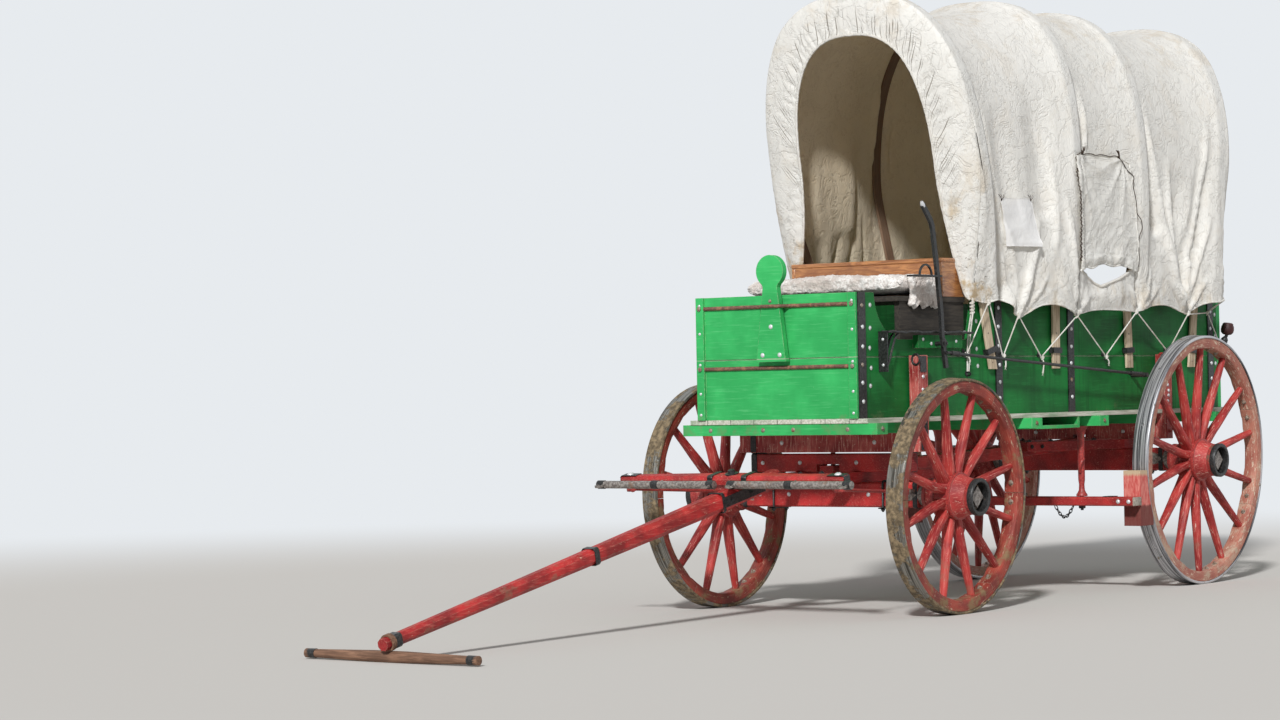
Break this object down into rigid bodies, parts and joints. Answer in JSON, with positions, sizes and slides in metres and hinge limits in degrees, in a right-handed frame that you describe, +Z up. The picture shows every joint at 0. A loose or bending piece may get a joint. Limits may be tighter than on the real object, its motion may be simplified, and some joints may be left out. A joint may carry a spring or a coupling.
{
  "type": "covered wagon",
  "caption": "Horse-drawn wooden wagon with a panelled box, a canvas cover on bent bows, a pivoting front axle and a tongue.",
  "frame": {"origin": "on the ground under the middle of the front axle, which is also under the middle of the whole wagon with its tongue down", "axes": "+X forward along the tongue, +Y to the wagon's left, +Z up"},
  "size_m": [6.747, 1.7314, 3.1872],
  "materials": {
    "tyre_steel": "worn steel tread",
    "red_wood": "worn red paint on oak",
    "red_iron": "red paint on iron",
    "black_iron": "black paint on forged iron",
    "green_board": "worn green paint on boards",
    "deck_wood": "green paint, worn to pale wood at the edges",
    "bow_wood": "bare bent hickory",
    "canvas": "heavy cotton duck",
    "chest_wood": "varnished planks",
    "dark_wood": "dark stained boards",
    "fleece": "fleece over padding",
    "yoke_wood": "oiled hickory",
    "block_wood": "worn red paint on a brake block"
  },
  "bodies": {
    "root": {"rear_arms": "black_iron", "rear_axle": "red_wood", "reach": "red_wood", "front_bolster": "red_wood", "rear_bolster": "red_wood", "rear_hounds": "red_wood", "box_floor": "deck_wood", "cross_sills": "green_board", "tool_tray": "green_board", "box_side_left": "green_board", "box_side_right": "green_board", "front_board": "green_board", "tailgate": "green_board", "rein_post": "green_board", "side_irons": "black_iron", "bow_1": "bow_wood", "bow_2": "bow_wood", "bow_3": "bow_wood", "bow_4": "bow_wood", "cover": "canvas", "seat_frame": "dark_wood", "seat_chest": "chest_wood", "seat_cushion": "fleece", "side_steps": "black_iron", "brake_lever": "black_iron", "brake_blocks": "block_wood", "brake_beam": "red_wood"},
    "front_left_wheel": {"front_left_tyre": "tyre_steel", "front_left_felloes": "red_wood", "front_left_spokes": "red_wood", "front_left_hub": "red_wood"},
    "front_right_wheel": {"front_right_tyre": "tyre_steel", "front_right_felloes": "red_wood", "front_right_spokes": "red_wood", "front_right_hub": "red_wood"},
    "rear_left_wheel": {"rear_left_tyre": "tyre_steel", "rear_left_felloes": "red_wood", "rear_left_spokes": "red_wood", "rear_left_hub": "red_wood"},
    "rear_right_wheel": {"rear_right_tyre": "tyre_steel", "rear_right_felloes": "red_wood", "rear_right_spokes": "red_wood", "rear_right_hub": "red_wood"},
    "front_gear": {"front_arms": "black_iron", "front_axle": "red_wood", "front_hounds": "red_wood", "sand_board": "red_wood"},
    "tongue": {"tongue_pole": "red_wood", "doubletree": "red_wood", "singletrees": "black_iron", "neck_yoke": "yoke_wood"},
    "stays": {"stay_rods": "red_iron"}
  },
  "joints": [
    {"name": "steering", "type": "hinge", "parent": "root", "child": "front_gear", "pos_m": [0, 0, 0.8], "axis": [0, 0, 1], "range_deg": [-14, 14]},
    {"name": "tongue_lift", "type": "hinge", "parent": "front_gear", "child": "tongue", "pos_m": [0.56, 0, 0.67175], "axis": [0, -1, 0], "range_deg": [0, 25]},
    {"name": "stay_swing", "type": "hinge", "parent": "front_gear", "child": "stays", "pos_m": [0.084, 0, 0.6], "axis": [0, -1, 0], "range_deg": [0, 9.7]},
    {"name": "front_left_spin", "type": "hinge", "parent": "front_gear", "child": "front_left_wheel", "pos_m": [0, 0.729, 0.57775], "axis": [0, 0.9996, -0.0297], "continuous": true},
    {"name": "front_right_spin", "type": "hinge", "parent": "front_gear", "child": "front_right_wheel", "pos_m": [0, -0.729, 0.57775], "axis": [0, -0.9996, -0.0297], "continuous": true},
    {"name": "rear_left_spin", "type": "hinge", "parent": "root", "child": "rear_left_wheel", "pos_m": [-2.538, 0.729, 0.6857], "axis": [0, 0.9996, -0.0297], "continuous": true},
    {"name": "rear_right_spin", "type": "hinge", "parent": "root", "child": "rear_right_wheel", "pos_m": [-2.538, -0.729, 0.6857], "axis": [0, -0.9996, -0.0297], "continuous": true}
  ],
  "couplings": [
    {"joint": "stay_swing", "follows": "tongue_lift", "ratio": 0.3845}
  ]
}
